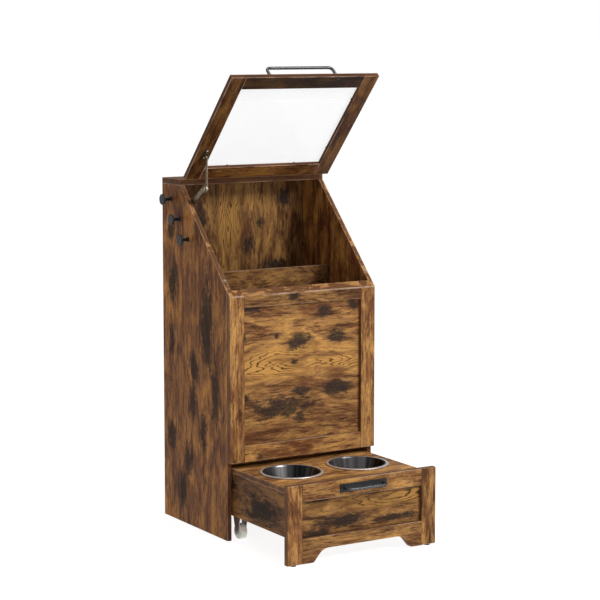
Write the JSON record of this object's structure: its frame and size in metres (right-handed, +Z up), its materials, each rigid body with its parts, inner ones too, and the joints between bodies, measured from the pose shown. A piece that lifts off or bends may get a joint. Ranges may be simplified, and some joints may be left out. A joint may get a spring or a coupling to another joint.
{
  "type": "pet food bin",
  "caption": "Wooden pet food bin with a sloped windowed lid on a stay, two inside compartments, coat hooks and a rolling drawer that holds two feeding bowls.",
  "frame": {"origin": "middle of the cabinet's back face, at floor level", "axes": "+Z up, +X to the right seen from the front, -Y towards the front, where the drawer pulls out"},
  "size_m": [0.456, 0.661, 1.1844],
  "materials": {
    "wood": "matt",
    "black_metal": "satin",
    "steel": "satin",
    "polished_steel": "polished",
    "bronze": "aged",
    "acrylic": "clear",
    "wheel": "translucent",
    "glide": "matt",
    "clear_dot": "clear"
  },
  "bodies": {
    "cabinet": {"left_side_panel": "wood", "right_side_panel": "wood", "top_board": "wood", "back_panel": "wood", "bin_floor": "wood", "divider": "wood", "front_left_stile": "wood", "front_right_stile": "wood", "front_top_rail": "wood", "front_bottom_rail": "wood", "front_center_panel": "wood", "upper_coat_hook": "black_metal", "middle_coat_hook": "black_metal", "lower_coat_hook": "black_metal", "coat_hook_screws": "steel", "cabinet_cam_locks": "steel", "cabinet_fitting_screws": "steel", "stay_side_bracket": "bronze", "left_hinge_fixed_leaf": "bronze", "right_hinge_fixed_leaf": "bronze", "hinge_pins": "bronze", "lid_bumpers": "clear_dot"},
    "lid": {"lid_left_stile": "wood", "lid_right_stile": "wood", "lid_top_rail": "wood", "lid_bottom_rail": "wood", "lid_window": "acrylic", "lid_handle": "black_metal", "lid_handle_screws": "steel", "lid_fitting_screws": "steel", "left_hinge_moving_leaf": "bronze", "right_hinge_moving_leaf": "bronze", "stay_lid_bracket": "bronze"},
    "stay_lower": {"stay_lower_arm": "bronze", "stay_drum": "bronze"},
    "stay_upper": {"stay_upper_arm": "bronze"},
    "drawer": {"drawer_front_left_stile": "wood", "drawer_front_right_stile": "wood", "drawer_front_top_rail": "wood", "drawer_front_bottom_rail": "wood", "drawer_front_center_panel": "wood", "drawer_left_side": "wood", "drawer_right_side": "wood", "drawer_back": "wood", "drawer_bottom": "wood", "drawer_top_board": "wood", "drawer_handle_plate": "black_metal", "drawer_handle_bar": "black_metal", "drawer_cam_locks": "steel", "drawer_handle_screws": "steel", "drawer_glides": "glide", "left_caster_bracket": "steel", "right_caster_bracket": "steel", "caster_axles": "steel", "caster_screws": "steel"},
    "left_bowl_body": {"left_bowl": "polished_steel"},
    "right_bowl_body": {"right_bowl": "polished_steel"},
    "left_wheel": {"left_caster_wheel": "wheel"},
    "right_wheel": {"right_caster_wheel": "wheel"}
  },
  "joints": [
    {"name": "lid_hinge", "type": "hinge", "parent": "cabinet", "child": "lid", "pos_m": [0, -0.106, 0.8985], "axis": [-1, 0, 0], "range_deg": [-92.5, 0]},
    {"name": "stay_lower_pivot", "type": "hinge", "parent": "cabinet", "child": "stay_lower", "pos_m": [-0.2, -0.106, 0.8175], "axis": [-1, 0, 0], "range_deg": [-92.5, 0]},
    {"name": "stay_elbow", "type": "hinge", "parent": "stay_lower", "child": "stay_upper", "pos_m": [-0.191, -0.19726, 0.87593], "axis": [-1, 0, 0], "range_deg": [0, 92.5]},
    {"name": "drawer_roll", "type": "slide", "parent": "cabinet", "child": "drawer", "axis": [0, -1, 0], "range_m": [-0.276, 0]},
    {"name": "left_bowl_lift", "type": "slide", "parent": "drawer", "child": "left_bowl_body", "axis": [0, 0, 1], "range_m": [0, 0.12]},
    {"name": "right_bowl_lift", "type": "slide", "parent": "drawer", "child": "right_bowl_body", "axis": [0, 0, 1], "range_m": [0, 0.12]},
    {"name": "left_wheel_spin", "type": "hinge", "parent": "drawer", "child": "left_wheel", "pos_m": [-0.173, -0.333, 0.02], "axis": [1, 0, 0], "continuous": true},
    {"name": "right_wheel_spin", "type": "hinge", "parent": "drawer", "child": "right_wheel", "pos_m": [0.173, -0.333, 0.02], "axis": [1, 0, 0], "continuous": true}
  ],
  "couplings": [
    {"joint": "stay_lower_pivot", "follows": "lid_hinge", "ratio": 1},
    {"joint": "stay_elbow", "follows": "lid_hinge", "ratio": -1}
  ]
}
